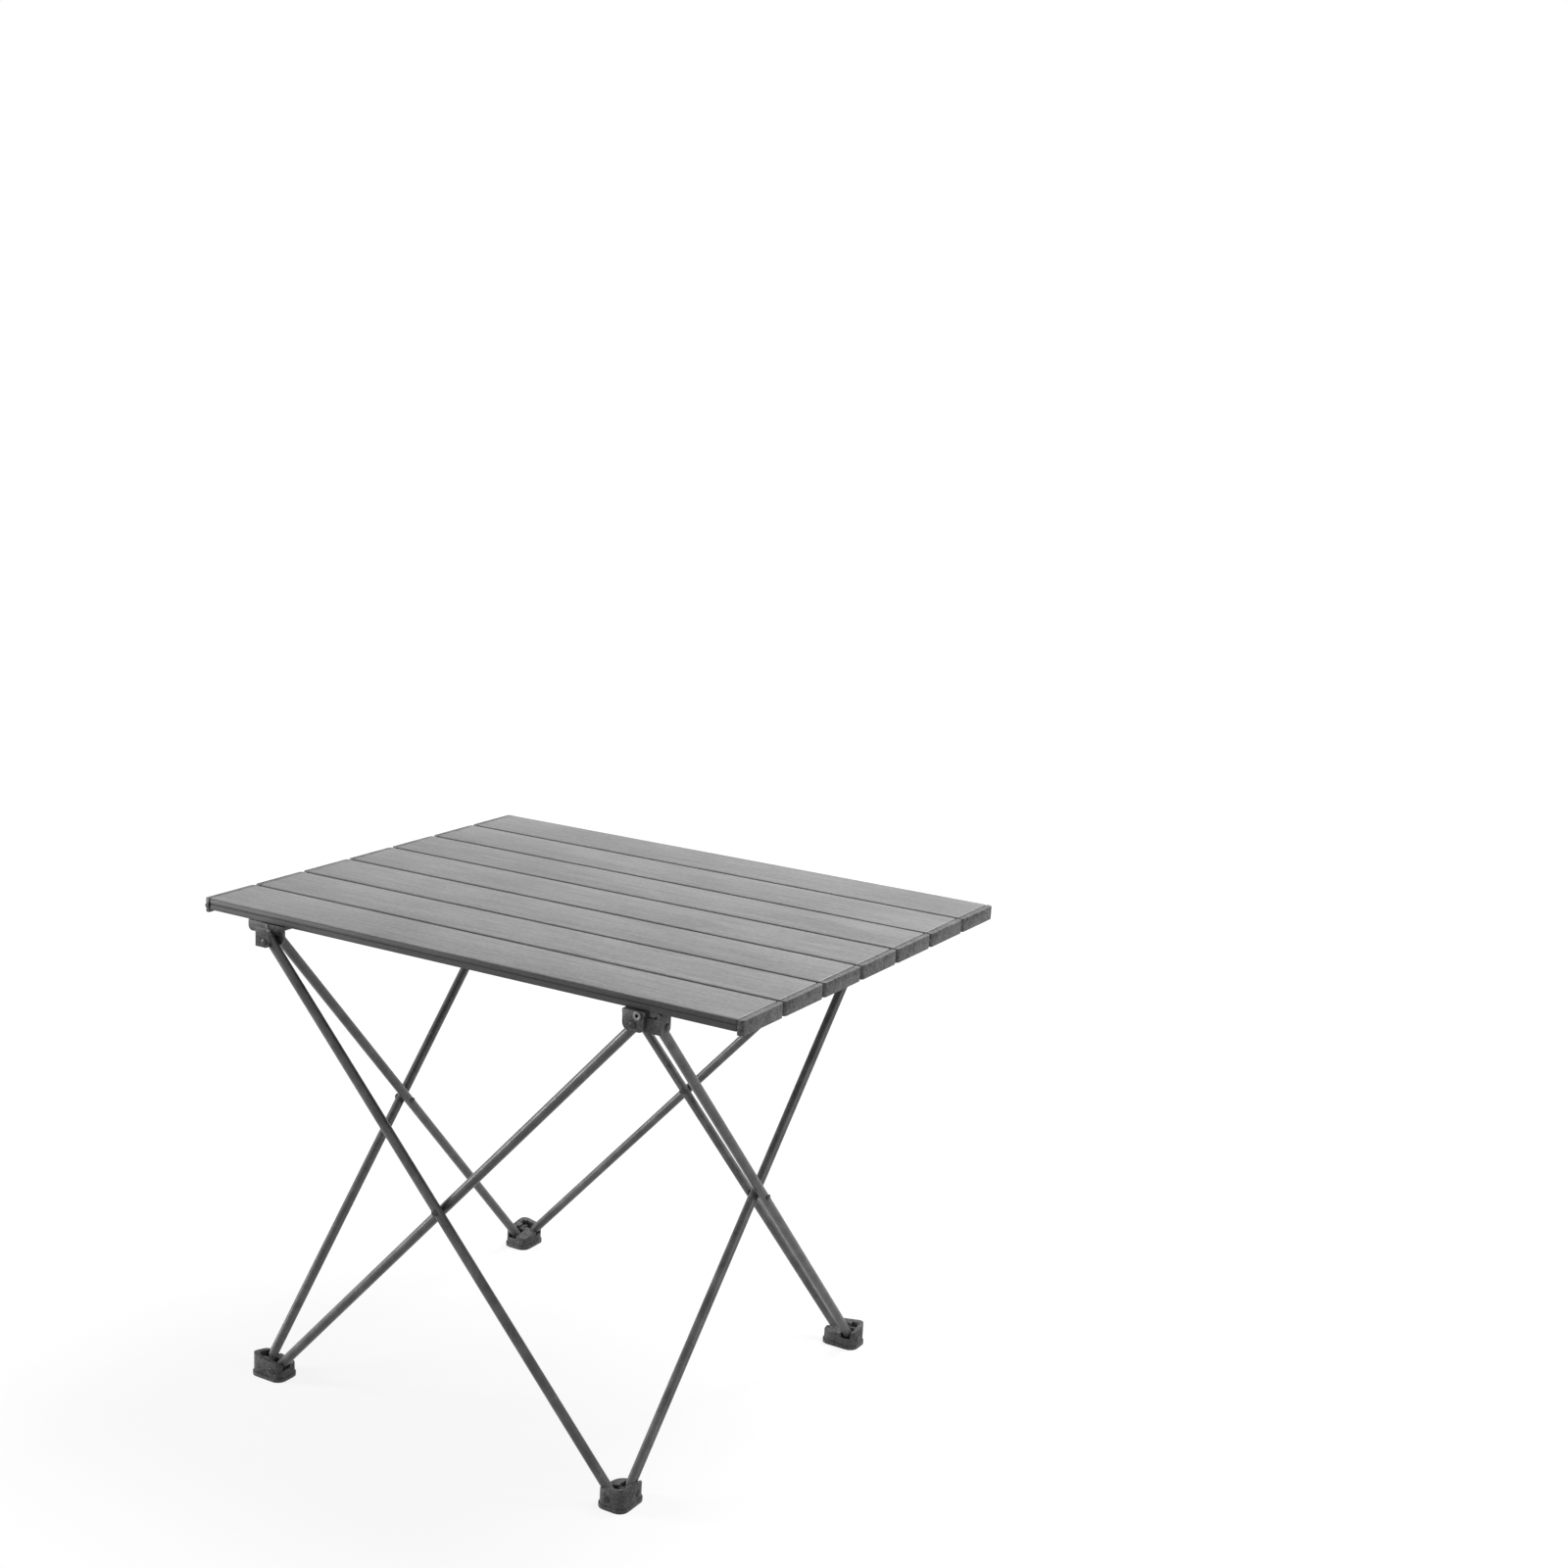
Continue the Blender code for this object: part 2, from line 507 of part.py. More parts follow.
def build_tabletop():
    slat = make_slat()
    cap = make_cap()
    for index in range(SLAT_COUNT):
        number = index + 1
        body = "slat_%d" % number
        place = Matrix.Translation((0, slat_middle(index), 0))
        finish(copy_of(slat, "slat"), "slat_%d" % number, ALUMINIUM, body, place)
        finish(copy_of(cap, "cap"), "cap_right_%d" % number, CAP_PLASTIC, body, place)
        half_turn = place @ Matrix.Rotation(pi, 4, "Z")
        finish(copy_of(cap, "cap"), "cap_left_%d" % number, CAP_PLASTIC, body, half_turn)
    bpy.data.objects.remove(slat, do_unlink=True)
    bpy.data.objects.remove(cap, do_unlink=True)
    finish(make_rail(True), "rail_front", HUB_PLASTIC, "slat_1", quarter(0))
    finish(make_clip(), "clip_front_left", HUB_PLASTIC, "slat_1", quarter(0))
    finish(make_rail(False), "rail_back", HUB_PLASTIC, "slat_%d" % SLAT_COUNT, quarter(0))


def build_tubes():
    outer = make_tube(False)
    inner = make_tube(True)
    for index, side in enumerate(SIDES):
        finish(copy_of(outer, "tube"), "tube_outer_" + side, TUBE_PAINT, "outer_" + side, quarter(index))
        finish(copy_of(inner, "tube"), "tube_inner_" + side, TUBE_PAINT, "inner_" + side, quarter(index))
        rivet = make_rivet((0, -OUTER_PLANE - TUBE_RADIUS - FIT, MIDDLE_Z),
                           (0, -INNER_PLANE + TUBE_RADIUS + FIT, MIDDLE_Z), True)
        finish(rivet, "rivet_cross_" + side, RIVET_STEEL, "outer_" + side, quarter(index))
    bpy.data.objects.remove(outer, do_unlink=True)
    bpy.data.objects.remove(inner, do_unlink=True)


def build_hubs():
    hub = make_hub()
    bodies = ("base", "hub_front_right", "hub_back_right", "hub_back_left")
    for index, (corner, body) in enumerate(zip(CORNERS, bodies)):
        place = quarter(index)
        finish(copy_of(hub, "hub"), "hub_" + corner, HUB_PLASTIC, body, place)
        z = HUB_PIVOT_Z
        outer = make_rivet((-PIVOT_HALF_SPAN, -CLEVIS_OUTER - FIT, z),
                           (-PIVOT_HALF_SPAN, -SIDE_PLANE + RIVET_BLIND_DEPTH, z), False)
        finish(outer, "rivet_hub_outer_" + corner, RIVET_STEEL, body, place)
        inner = make_rivet((-LUG_OUTER - FIT, -PIVOT_HALF_SPAN, z),
                           (-INNER_PLANE + TUBE_RADIUS + FIT, -PIVOT_HALF_SPAN, z), True)
        finish(inner, "rivet_hub_inner_" + corner, RIVET_STEEL, body, place)
    bpy.data.objects.remove(hub, do_unlink=True)


def build_feet():
    foot = make_foot()
    slot_half = TUBE_RADIUS + TUBE_GAP
    for index, corner in enumerate(CORNERS):
        body = "foot_" + corner
        place = quarter(index)
        finish(copy_of(foot, "foot"), "foot_" + corner, FOOT_PLASTIC, body, place)
        z = FOOT_PIVOT_HEIGHT
        outer = make_rivet((-FOOT_OUTER - FIT, -PIVOT_HALF_SPAN, z),
                           (-SIDE_PLANE + TUBE_GAP + RIVET_BLIND_DEPTH, -PIVOT_HALF_SPAN, z), False)
        finish(outer, "rivet_foot_outer_" + corner, RIVET_STEEL, body, place)
        inner = make_rivet((-PIVOT_HALF_SPAN, -FOOT_LUG_OUTER - FIT, z),
                           (-PIVOT_HALF_SPAN, -INNER_PLANE + slot_half + RIVET_BLIND_DEPTH, z), False)
        finish(inner, "rivet_foot_inner_" + corner, RIVET_STEEL, body, place)
    bpy.data.objects.remove(foot, do_unlink=True)


clear_scene()
TABLE = make_collection("camp_table")
WORK = make_collection("work")
ALUMINIUM = make_material("brushed_aluminium", (0.34, 0.34, 0.34), 0.42, 0.85)
CAP_PLASTIC = make_material("cap_plastic", (0.13, 0.13, 0.13), 0.5, 0.0)
TUBE_PAINT = make_material("tube_paint", (0.08, 0.08, 0.082), 0.32, 0.3)
HUB_PLASTIC = make_material("hub_plastic", (0.07, 0.07, 0.07), 0.5, 0.0)
FOOT_PLASTIC = make_material("foot_plastic", (0.075, 0.075, 0.075), 0.55, 0.0)
RIVET_STEEL = make_material("rivet_steel", (0.05, 0.05, 0.05), 0.35, 0.9)
pivots = {}
pivot_places = {}
make_pivots()
build_tabletop()
build_tubes()
build_hubs()
build_feet()
bpy.context.scene.collection.children.unlink(WORK)
bpy.data.collections.remove(WORK)
print("tube angle %.2f degrees, tube length %.1f mm, origin shift %.2f mm" % (
    degrees(TUBE_ANGLE), TUBE_LENGTH / MM, ORIGIN_SHIFT_Y / MM))
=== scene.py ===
# Looks of the folding camp table: camera, light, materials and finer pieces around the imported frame.
# Metres, +Z up, +X to the right along the slats, +Y from the front edge to the back.

import bmesh
import bpy
from math import cos, pi, radians, sin
from mathutils import Matrix, Vector


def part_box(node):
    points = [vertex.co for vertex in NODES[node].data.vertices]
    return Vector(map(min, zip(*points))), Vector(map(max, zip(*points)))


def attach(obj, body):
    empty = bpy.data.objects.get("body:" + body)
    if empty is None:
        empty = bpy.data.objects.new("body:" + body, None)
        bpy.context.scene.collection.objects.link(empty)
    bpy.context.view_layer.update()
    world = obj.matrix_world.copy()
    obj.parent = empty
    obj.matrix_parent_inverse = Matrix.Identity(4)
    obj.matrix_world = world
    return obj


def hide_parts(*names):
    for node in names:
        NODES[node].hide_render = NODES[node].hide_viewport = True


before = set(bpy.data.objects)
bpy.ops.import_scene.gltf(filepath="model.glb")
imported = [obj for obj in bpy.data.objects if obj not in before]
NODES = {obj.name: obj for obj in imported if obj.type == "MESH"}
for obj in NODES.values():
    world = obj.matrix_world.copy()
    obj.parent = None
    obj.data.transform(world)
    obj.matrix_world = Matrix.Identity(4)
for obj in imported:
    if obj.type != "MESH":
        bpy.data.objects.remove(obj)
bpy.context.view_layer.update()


MM = 0.001
SIDES = ("front", "right", "back", "left")
CORNERS = ("front_left", "front_right", "back_right", "back_left")
HUB_BODIES = ("base", "hub_front_right", "hub_back_right", "hub_back_left")
SLAT_COUNT = 7

# Camera, fitted to the photograph's slat joints, tubes and feet, then refitted with half of the lens shift,
# so that views from other sides stay in frame
IMAGE_SIZE = 1600.0
CAMERA_ELEVATION = radians(14.856)
CAMERA_AZIMUTH = radians(31.456)
CAMERA_ROLL = radians(2.596)
CAMERA_DISTANCE = 2.70158
CAMERA_AIM = Vector((-0.35007, 0.68625, 0.200))      # from the floor under the tabletop's middle
FOCAL_PIXELS = 2335.91
CENTRE_PIXEL_X = 692.8              # where the lens axis meets the photograph
CENTRE_PIXEL_Y = 925.7
SENSOR = 36.0                       # millimetres
CLIP_START = 0.05
CLIP_END = 100.0

MIDDLE_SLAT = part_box("slat_4")
TOP_Y = (MIDDLE_SLAT[0].y + MIDDLE_SLAT[1].y) / 2


def frame_middle():
    """Middle of the crossed frame, from its feet."""
    boxes = [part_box("foot_" + corner) for corner in CORNERS]
    low = Vector([min(box[0][axis] for box in boxes) for axis in range(3)])
    high = Vector([max(box[1][axis] for box in boxes) for axis in range(3)])
    return (low + high) / 2


FRAME_MIDDLE = frame_middle()

COLLECTION = bpy.data.collections.new("looks")
bpy.context.scene.collection.children.link(COLLECTION)


# Camera, light and floor

WORLD_LIGHT = 0.12
FLOOR_COLOUR = 0.25
FLOOR_GLOW = 0.86                   # near the table, where the lamps add the rest
FLOOR_FAR_GLOW = 0.97
FLOOR_LIT_REACH = 0.9
FLOOR_DIM_REACH = 4.0
FLOOR_HALF = 30.0
FLOOR_CELLS = 8

# Each lamp's name, place, aim, width and height, and watts
LAMPS = (
    ("key", (0.5, 1.4, 2.6), (0, 0, 0.3), (1.6, 1.6), 58.0),
    ("right", (2.6, 0.1, 0.9), (0, 0, 0.25), (0.6, 1.2), 7.0),
    ("left", (-1.7, -1.0, 0.55), (0, 0, 0.25), (0.5, 1.0), 19.0),
)


def make_camera():
    """Camera at the photograph's place, with its lens axis off the middle of the picture."""
    away = Vector((sin(CAMERA_AZIMUTH) * cos(CAMERA_ELEVATION), -cos(CAMERA_AZIMUTH) * cos(CAMERA_ELEVATION),
                   sin(CAMERA_ELEVATION)))
    right = (-away).cross(Vector((0, 0, 1))).normalized()
    up = right.cross(-away)
    rolled_right = right * cos(CAMERA_ROLL) + up * sin(CAMERA_ROLL)
    rolled_up = up * cos(CAMERA_ROLL) - right * sin(CAMERA_ROLL)
    turn = Matrix((rolled_right, rolled_up, away)).transposed().to_4x4()
    data = bpy.data.cameras.new("camera")
    data.sensor_fit = "HORIZONTAL"
    data.sensor_width = SENSOR
    data.lens = FOCAL_PIXELS / IMAGE_SIZE * SENSOR
    data.shift_x = (IMAGE_SIZE / 2 - CENTRE_PIXEL_X) / IMAGE_SIZE
    data.shift_y = (CENTRE_PIXEL_Y - IMAGE_SIZE / 2) / IMAGE_SIZE
    data.clip_start = CLIP_START
    data.clip_end = CLIP_END
    camera = bpy.data.objects.new("camera", data)
    place = CAMERA_AIM + Vector((0, TOP_Y, 0)) + away * CAMERA_DISTANCE
    camera.matrix_world = Matrix.Translation(place) @ turn
    bpy.context.scene.collection.objects.link(camera)
    bpy.context.scene.camera = camera


def add_light(name, place, aim, size, watts):
    data = bpy.data.lights.new(name, "AREA")
    data.shape = "RECTANGLE"
    data.size = size[0]
    data.size_y = size[1]
    data.energy = watts
    light = bpy.data.objects.new(name, data)
    place = Vector(place)
    turn = (place - Vector(aim)).to_track_quat("Z", "Y").to_matrix().to_4x4()
    light.matrix_world = Matrix.Translation(place) @ turn
    bpy.context.scene.collection.objects.link(light)


def camera_like_rays(tree):
    """1 for camera, glossy and transmission rays, 0 for the rays that carry light."""
    path = tree.nodes.new("ShaderNodeLightPath")
    first = tree.nodes.new("ShaderNodeMath")
    first.operation = "MAXIMUM"
    second = tree.nodes.new("ShaderNodeMath")
    second.operation = "MAXIMUM"
    tree.links.new(path.outputs["Is Camera Ray"], first.inputs[0])
    tree.links.new(path.outputs["Is Glossy Ray"], first.inputs[1])
    tree.links.new(first.outputs[0], second.inputs[0])
    tree.links.new(path.outputs["Is Transmission Ray"], second.inputs[1])
    return second.outputs[0]


def make_world():
    world = bpy.data.worlds.new("studio")
    bpy.context.scene.world = world
    world.use_nodes = True
    tree = world.node_tree
    tree.nodes.clear()
    seen = tree.nodes.new("ShaderNodeBackground")
    seen.inputs["Color"].default_value = (1, 1, 1, 1)
    seen.inputs["Strength"].default_value = 1.0
    light = tree.nodes.new("ShaderNodeBackground")
    light.inputs["Color"].default_value = (1, 1, 1, 1)
    light.inputs["Strength"].default_value = WORLD_LIGHT
    mix = tree.nodes.new("ShaderNodeMixShader")
    out = tree.nodes.new("ShaderNodeOutputWorld")
    tree.links.new(camera_like_rays(tree), mix.inputs["Fac"])
    tree.links.new(light.outputs[0], mix.inputs[1])
    tree.links.new(seen.outputs[0], mix.inputs[2])
    tree.links.new(mix.outputs[0], out.inputs["Surface"])


def make_floor():
    """Pale floor: white to the camera away from the object, with the object's soft shadow kept."""
    material = bpy.data.materials.new("floor")
    material.use_nodes = True
    tree = material.node_tree
    tree.nodes.clear()
    plain = tree.nodes.new("ShaderNodeBsdfDiffuse")
    plain.inputs["Color"].default_value = (FLOOR_COLOUR, FLOOR_COLOUR, FLOOR_COLOUR, 1)
    place = tree.nodes.new("ShaderNodeTexCoord")
    reach = tree.nodes.new("ShaderNodeVectorMath")
    reach.operation = "LENGTH"
    spread = tree.nodes.new("ShaderNodeMapRange")
    spread.inputs["From Min"].default_value = FLOOR_LIT_REACH
    spread.inputs["From Max"].default_value = FLOOR_DIM_REACH
    spread.inputs["To Min"].default_value = FLOOR_GLOW
    spread.inputs["To Max"].default_value = FLOOR_FAR_GLOW
    glow = tree.nodes.new("ShaderNodeEmission")
    tree.links.new(place.outputs["Object"], reach.inputs[0])
    tree.links.new(reach.outputs["Value"], spread.inputs["Value"])
    tree.links.new(spread.outputs["Result"], glow.inputs["Strength"])
    both = tree.nodes.new("ShaderNodeAddShader")
    mix = tree.nodes.new("ShaderNodeMixShader")
    out = tree.nodes.new("ShaderNodeOutputMaterial")
    tree.links.new(plain.outputs[0], both.inputs[0])
    tree.links.new(glow.outputs[0], both.inputs[1])
    tree.links.new(camera_like_rays(tree), mix.inputs["Fac"])
    tree.links.new(plain.outputs[0], mix.inputs[1])
    tree.links.new(both.outputs[0], mix.inputs[2])
    tree.links.new(mix.outputs[0], out.inputs["Surface"])
    bm = bmesh.new()
    bmesh.ops.create_grid(bm, x_segments=FLOOR_CELLS, y_segments=FLOOR_CELLS, size=FLOOR_HALF)
    mesh = bpy.data.meshes.new("floor")
    bm.to_mesh(mesh)
    bm.free()
    mesh.materials.append(material)
    floor = bpy.data.objects.new("floor", mesh)
    COLLECTION.objects.link(floor)
    # All four feet move down together as the frame folds, and the floor stays under them
    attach(floor, "foot_front_left")


# Materials

# Greys are linear values, bump depths are in metres, and noise scales count features in a metre
NOISE_LOW = 0.3                     # most of a noise's values lie between these two
NOISE_HIGH = 0.7
SLAT_GREY = 0.265
# Painted shade: upright slat faces get only this share of the top's tone, as if less lit
SLAT_PAINTED_SIDE_SHADE = 0.29               # share of the top's tone on upright faces
SLAT_SIDE_LEVEL = 0.62              # a face less level than this has the side's tone
SLAT_TOP_LEVEL = 0.97               # and one more level than this has the top's
BRUSH_LINES = (22.0, 700.0, 700.0)
BRUSH_STREAKS = (7.0, 130.0, 130.0)
BRUSH_SPECKLE = (260.0, 620.0, 620.0)
BRUSH_DEPTH = 0.00006
PLASTIC_CLOUDS = 110.0
PLASTIC_GRAIN = 2600.0
PLASTIC_SPECKS = 480.0
PLASTIC_GRAIN_DEPTH = 0.00005
PLASTIC_EDGE_LIGHT = 0.05
WORN_LOW = 0.5                      # pointiness of flat ground
WORN_HIGH = 0.62                    # and of a rubbed edge
TUBE_GREY = 0.145
TUBE_SCUFFS = (220.0, 220.0, 60.0)
PEEL_DEPTH = 0.00003
RIVET_GREY = 0.05
EYELET_GREY = 0.22
NICK_DEPTH = 0.00004


class Shader:
    """Small helper that lays out one Principled material."""

    def __init__(self, name, roughness, metallic, specular=0.5):
        self.material = bpy.data.materials.new(name)
        self.material.use_nodes = True
        self.tree = self.material.node_tree
        self.main = self.tree.nodes["Principled BSDF"]
        self.main.inputs["Roughness"].default_value = roughness
        self.main.inputs["Metallic"].default_value = metallic
        self.main.inputs["Specular IOR Level"].default_value = specular
        self.place = self.tree.nodes.new("ShaderNodeTexCoord").outputs["Object"]

    def node(self, kind, **inputs):
        made = self.tree.nodes.new(kind)
        for name, value in inputs.items():
            self.set(made.inputs[name], value)
        return made

    def set(self, socket, value):
        """Link a socket to another one, or give it a plain value."""
        if isinstance(value, bpy.types.NodeSocket):
            self.tree.links.new(value, socket)
        else:
            socket.default_value = value

    def stretched(self, scale):
        """Object coordinates scaled by a different amount along each axis."""
        made = self.node("ShaderNodeMapping", Vector=self.place)
        made.inputs["Scale"].default_value = scale
        return made.outputs[0]

    def noise(self, vector, scale, detail, roughness=0.55):
        return self.node("ShaderNodeTexNoise", Vector=vector, Scale=scale, Detail=detail,
                         Roughness=roughness).outputs["Fac"]

    def ramp(self, value, low, high, start=NOISE_LOW, end=NOISE_HIGH):
        """Map a value from start..end to low..high, held at both ends."""
        made = self.node("ShaderNodeMapRange", Value=value)
        made.inputs["From Min"].default_value = start
        made.inputs["From Max"].default_value = end
        made.inputs["To Min"].default_value = low
        made.inputs["To Max"].default_value = high
        return made.outputs["Result"]

    def math(self, operation, first, second):
        made = self.tree.nodes.new("ShaderNodeMath")
        made.operation = operation
        self.set(made.inputs[0], first)
        self.set(made.inputs[1], second)
        return made.outputs[0]

    def grey(self, value):
        """A colour with the same value in each channel."""
        made = self.tree.nodes.new("ShaderNodeCombineColor")
        for channel in ("Red", "Green", "Blue"):
            self.set(made.inputs[channel], value)
        return made.outputs[0]

    def bump(self, height, depth, strength):
        made = self.node("ShaderNodeBump", Height=height)
        made.inputs["Distance"].default_value = depth
        made.inputs["Strength"].default_value = strength
        self.set(self.main.inputs["Normal"], made.outputs[0])

    def worn_edges(self):
        """0 on flat ground, 1 on outward edges."""
        geometry = self.tree.nodes.new("ShaderNodeNewGeometry")
        return self.ramp(geometry.outputs["Pointiness"], 0.0, 1.0, WORN_LOW, WORN_HIGH)


def aluminium_material():
    """Anodised aluminium, brushed, with painted shade that makes the upright sides darker than the top."""
    made = Shader("anodised_aluminium", 0.5, 0.35)
    lines = made.noise(made.stretched(BRUSH_LINES), 1.0, 5.0, 0.6)
    streaks = made.noise(made.stretched(BRUSH_STREAKS), 1.0, 3.0)
    patches = made.noise(made.place, 9.0, 3.0)
    speckle = made.noise(made.stretched(BRUSH_SPECKLE), 1.0, 2.0)
    tone = made.math("ADD", made.ramp(lines, -0.055, 0.05), made.ramp(streaks, -0.035, 0.035))
    tone = made.math("ADD", tone, made.ramp(patches, -0.02, 0.025, 0.35, 0.65))
    tone = made.math("ADD", tone, made.ramp(speckle, -0.045, 0.045))
    # Painted shade: faces darken as they turn upright, by their object-space normal
    facing = made.tree.nodes.new("ShaderNodeSeparateXYZ")
    coordinates = made.tree.nodes.new("ShaderNodeTexCoord")
    made.set(facing.inputs[0], coordinates.outputs["Normal"])
    level = made.math("ABSOLUTE", facing.outputs["Z"], 0.0)
    value = made.math("ADD", tone, SLAT_GREY)
    shade = made.ramp(level, SLAT_PAINTED_SIDE_SHADE, 1.0, SLAT_SIDE_LEVEL, SLAT_TOP_LEVEL)
    value = made.math("MULTIPLY", value, shade)
    made.set(made.main.inputs["Base Color"], made.grey(value))
    rough = made.math("ADD", made.ramp(streaks, 0.42, 0.58), made.ramp(speckle, -0.04, 0.04))
    made.set(made.main.inputs["Roughness"], rough)
    height = made.math("ADD", lines, made.math("MULTIPLY", speckle, 0.6))
    made.bump(height, BRUSH_DEPTH, 0.5)
    return made.material


def moulded_plastic(name, grey, variation, roughness):
    """Moulded plastic: fine spark-eroded grain, faint clouding and slightly paler rubbed edges."""
    made = Shader(name, roughness, 0.0, 0.45)
    clouds = made.noise(made.place, PLASTIC_CLOUDS, 3.0)
    grain = made.noise(made.place, PLASTIC_GRAIN, 2.0)
    specks = made.noise(made.place, PLASTIC_SPECKS, 2.0)
    value = made.math("ADD", made.ramp(clouds, -variation, variation), grey)
    value = made.math("ADD", value, made.ramp(specks, -variation, variation, 0.35, 0.65))
    worn = made.math("MULTIPLY", made.worn_edges(), made.ramp(specks, 0.4, 1.0, 0.35, 0.6))
    value = made.math("ADD", value, made.math("MULTIPLY", worn, PLASTIC_EDGE_LIGHT))
    made.set(made.main.inputs["Base Color"], made.grey(value))
    rough = made.math("ADD", made.ramp(grain, -0.08, 0.08), roughness)
    made.set(made.main.inputs["Roughness"], rough)
    made.bump(grain, PLASTIC_GRAIN_DEPTH, 0.6)
    return made.material


def tube_material():
    """Dark satin powder coat on the tubes, with a fine orange peel and rubbed patches."""
    made = Shader("tube_coat", 0.36, 0.1)
    peel = made.noise(made.place, 1700.0, 2.0)
    clouds = made.noise(made.place, 60.0, 3.0)
    scuffs = made.noise(made.stretched(TUBE_SCUFFS), 1.0, 4.0, 0.7)
    value = made.math("ADD", made.ramp(clouds, -0.06, 0.06), TUBE_GREY)
    value = made.math("ADD", value, made.ramp(scuffs, 0.0, 0.1, 0.55, 0.75))
    made.set(made.main.inputs["Base Color"], made.grey(value))
    rough = made.math("ADD", made.ramp(scuffs, 0.3, 0.42, 0.35, 0.7), made.ramp(peel, -0.03, 0.03))
    made.set(made.main.inputs["Roughness"], rough)
    made.bump(peel, PEEL_DEPTH, 0.5)
    return made.material


def rivet_material():
    """Dark steel rivet, faintly clouded, with small nicks."""
    made = Shader("rivet_steel", 0.32, 0.9)
    nicks = made.noise(made.place, 900.0, 3.0, 0.7)
    clouds = made.noise(made.place, 140.0, 2.0)
    value = made.math("ADD", made.ramp(clouds, -0.012, 0.012), RIVET_GREY)
    value = made.math("ADD", value, made.ramp(nicks, 0.0, 0.05, 0.6, 0.75))
    made.set(made.main.inputs["Base Color"], made.grey(value))
    made.set(made.main.inputs["Roughness"], made.ramp(nicks, 0.26, 0.44, 0.35, 0.7))
    made.bump(nicks, NICK_DEPTH, 0.5)
    return made.material


def eyelet_material():
    """Bright pressed eyelet, rubbed in places."""
    made = Shader("eyelet_steel", 0.4, 0.7)
    nicks = made.noise(made.place, 1100.0, 3.0, 0.7)
    value = made.ramp(nicks, EYELET_GREY * 0.7, EYELET_GREY * 1.2)
    made.set(made.main.inputs["Base Color"], made.grey(value))
    made.set(made.main.inputs["Roughness"], made.ramp(nicks, 0.3, 0.5, 0.35, 0.7))
    made.bump(nicks, NICK_DEPTH, 0.5)
    return made.material


ALUMINIUM = aluminium_material()
CAP_PLASTIC = moulded_plastic("cap_plastic", grey=0.14, variation=0.065, roughness=0.5)
HUB_PLASTIC = moulded_plastic("hub_plastic", grey=0.08, variation=0.045, roughness=0.48)
FOOT_PLASTIC = moulded_plastic("foot_plastic", grey=0.09, variation=0.05, roughness=0.55)
TUBE_COAT = tube_material()
RIVET_STEEL = rivet_material()
EYELET_STEEL = eyelet_material()


def dress(node, material):
    obj = NODES[node]
    if not obj.data.materials:
        obj.data.materials.append(material)
    for slot in obj.material_slots:
        slot.material = material


def material_of(name):
    """The finish of a node, by the first word of its name."""
    finishes = {"slat": ALUMINIUM, "cap": CAP_PLASTIC, "tube": TUBE_COAT, "rivet": RIVET_STEEL,
                "hub": HUB_PLASTIC, "rail": HUB_PLASTIC, "clip": CAP_PLASTIC, "foot": FOOT_PLASTIC}
    return finishes[name.split("_")[0]]


for node_name in NODES:
    dress(node_name, material_of(node_name))


# Finer pieces that stand for the plain solids

MERGE_DISTANCE = 1e-5
FLAT_ANGLE = 1.0                    # degrees, like the angles below; flatter edges are dissolved
BEVEL_ANGLE = 30.0
BEVEL_SEGMENTS = 2
SLAT_SMOOTH_ANGLE = 30.0
BLOCK_SMOOTH_ANGLE = 35.0
LATHE_SMOOTH_ANGLE = 40.0
LATHE_SEGMENTS = 28
CAP_EDGE = 0.45 * MM
HUB_EDGE = 0.4 * MM
FOOT_EDGE = 0.5 * MM


def object_from_bmesh(bm, name, material, smooth_angle):
    """Object of a finished bmesh, smooth but for edges sharper than the angle."""
    bmesh.ops.recalc_face_normals(bm, faces=bm.faces)
    mesh = bpy.data.meshes.new(name)
    bm.to_mesh(mesh)
    bm.free()
    mesh.shade_smooth()
    mesh.set_sharp_from_angle(angle=radians(smooth_angle))
    mesh.materials.append(material)
    obj = bpy.data.objects.new(name, mesh)
    COLLECTION.objects.link(obj)
    return obj


def stand_for(piece, node, body):
    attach(piece, body)
    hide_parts(node)


# Slats; their radii are lower front, lower back, upper back and upper front
SLAT_EDGE_RADII = (0.8 * MM, 0.8 * MM, 0.9 * MM, 2.1 * MM)
SLAT_INNER_RADII = (0.2 * MM, 0.2 * MM, 0.2 * MM, 0.7 * MM)
SLAT_EDGE_STEPS = 4
SLAT_WALL = 1.3 * MM
REBATE_WIDTH = 1.1 * MM
REBATE_DEPTH = 2.6 * MM
SLAT_PLAN_RADIUS = 1.6 * MM
SLAT_END_DROP = 0.3                 # share of the plan rounding that also lowers the top at the ends
CORNER_STEPS = 4
GROOVE_DEPTH = 0.7 * MM
GROOVE_HALF_HEIGHT = 0.9 * MM
GROOVE_MIN_SIDE = 1 * MM            # only a straight side longer than this has a groove
SAME_PLACE = 1e-6


def box_profile(half_width, low, high, radii):
    """Closed Y and Z outline of a slat, counter-clockwise from low Y, low Z, rebated at the upper back."""
    points = []
    corners = ((-1, -1, 180), (1, -1, 270), (1, 1, 0), (-1, 1, 90))
    for (sign_y, sign_z, start), radius in zip(corners, radii):
        centre_y = sign_y * (half_width - radius)
        centre_z = (high if sign_z > 0 else low) - sign_z * radius
        if (sign_y, sign_z) == (1, 1):
            points.append((half_width, high - REBATE_DEPTH))
            centre_y -= REBATE_WIDTH
            points.append((half_width - REBATE_WIDTH, high - REBATE_DEPTH))
        for step in range(SLAT_EDGE_STEPS + 1):
            angle = radians(start + 90 * step / SLAT_EDGE_STEPS)
            points.append((centre_y + radius * cos(angle), centre_z + radius * sin(angle)))
    return points


